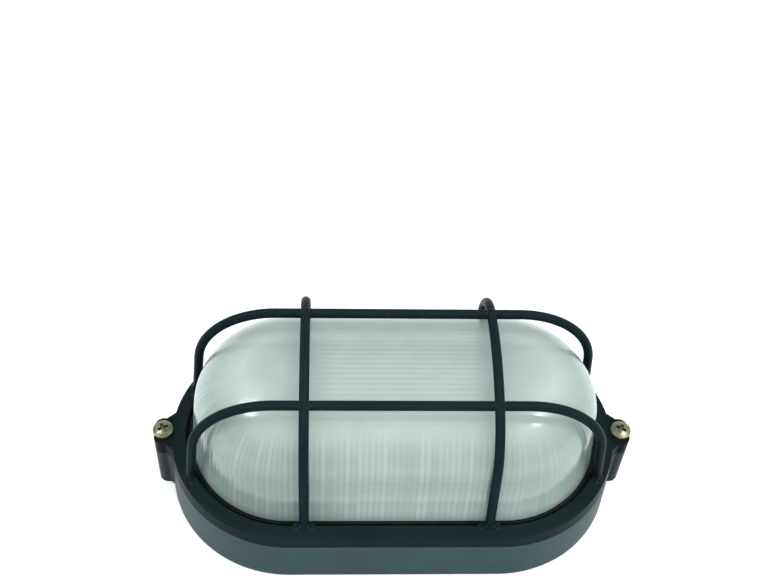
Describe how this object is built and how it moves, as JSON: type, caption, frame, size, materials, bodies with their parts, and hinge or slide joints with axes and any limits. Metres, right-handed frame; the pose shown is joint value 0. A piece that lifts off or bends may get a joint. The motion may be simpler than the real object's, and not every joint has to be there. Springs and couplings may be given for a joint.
{
  "type": "oval bulkhead light with wire guard",
  "caption": "Oval die-cast bulkhead light: a bowl base, a pressed glass dome with its gasket, a cast cage guard on end screws, and a lampholder with its lamp inside.",
  "frame": {"origin": "centre of the flat back, on the wall plane", "axes": "+Z points out of the wall, +X runs along the length, +Y across the width"},
  "size_m": [0.222, 0.1126, 0.0992],
  "materials": {
    "base_paint": "slate-teal gloss enamel on die-cast aluminium",
    "guard_paint": "near-black gloss enamel on die-cast aluminium",
    "glass": "pressed glass, ribbed inside, faint green-grey",
    "rubber": "black moulded rubber",
    "yellow_zinc": "yellow-passivated zinc plating on steel",
    "porcelain": "white glazed porcelain",
    "nickel": "nickel-plated drawn brass",
    "brass": "plain brass",
    "zinc": "bright zinc plating on steel",
    "zinc_strip": "zinc-plated steel strip",
    "block_plastic": "moulded off-white nylon",
    "brown_lead": "brown silicone sleeve",
    "blue_lead": "blue silicone sleeve",
    "lamp_glass": "white frosted bulb with a nickel-plated cap"
  },
  "bodies": {
    "base": {"base": "base_paint", "lampholder_body": "porcelain", "lampholder_shell": "nickel", "lampholder_contact": "brass", "lampholder_terminals": "brass", "lampholder_terminal_screws": "zinc", "lampholder_bracket": "zinc_strip", "holder_screws": "zinc", "bracket_screws": "zinc", "terminal_block": "block_plastic", "terminal_tubes": "brass", "terminal_screws": "zinc", "terminal_block_screw": "zinc", "earth_screw": "brass", "earth_washer": "brass", "live_wire": "brown_lead", "neutral_wire": "blue_lead", "cable_grommet": "rubber", "fixing_grommets": "rubber", "lamp": "lamp_glass"},
    "guard": {"guard": "guard_paint", "lens": "glass", "lens_gasket": "rubber"},
    "left_screw": {"cover_screw_left": "yellow_zinc"},
    "right_screw": {"cover_screw_right": "yellow_zinc"}
  },
  "joints": [
    {"name": "guard_lift", "type": "slide", "parent": "base", "child": "guard", "axis": [0, 0, 1], "range_m": [0, 0.1]},
    {"name": "left_screw_turn", "type": "hinge", "parent": "guard", "child": "left_screw", "pos_m": [-0.1063, 0, 0.0339], "axis": [0, 0, 1], "continuous": true},
    {"name": "right_screw_turn", "type": "hinge", "parent": "guard", "child": "right_screw", "pos_m": [0.1063, 0, 0.0339], "axis": [0, 0, 1], "continuous": true}
  ]
}
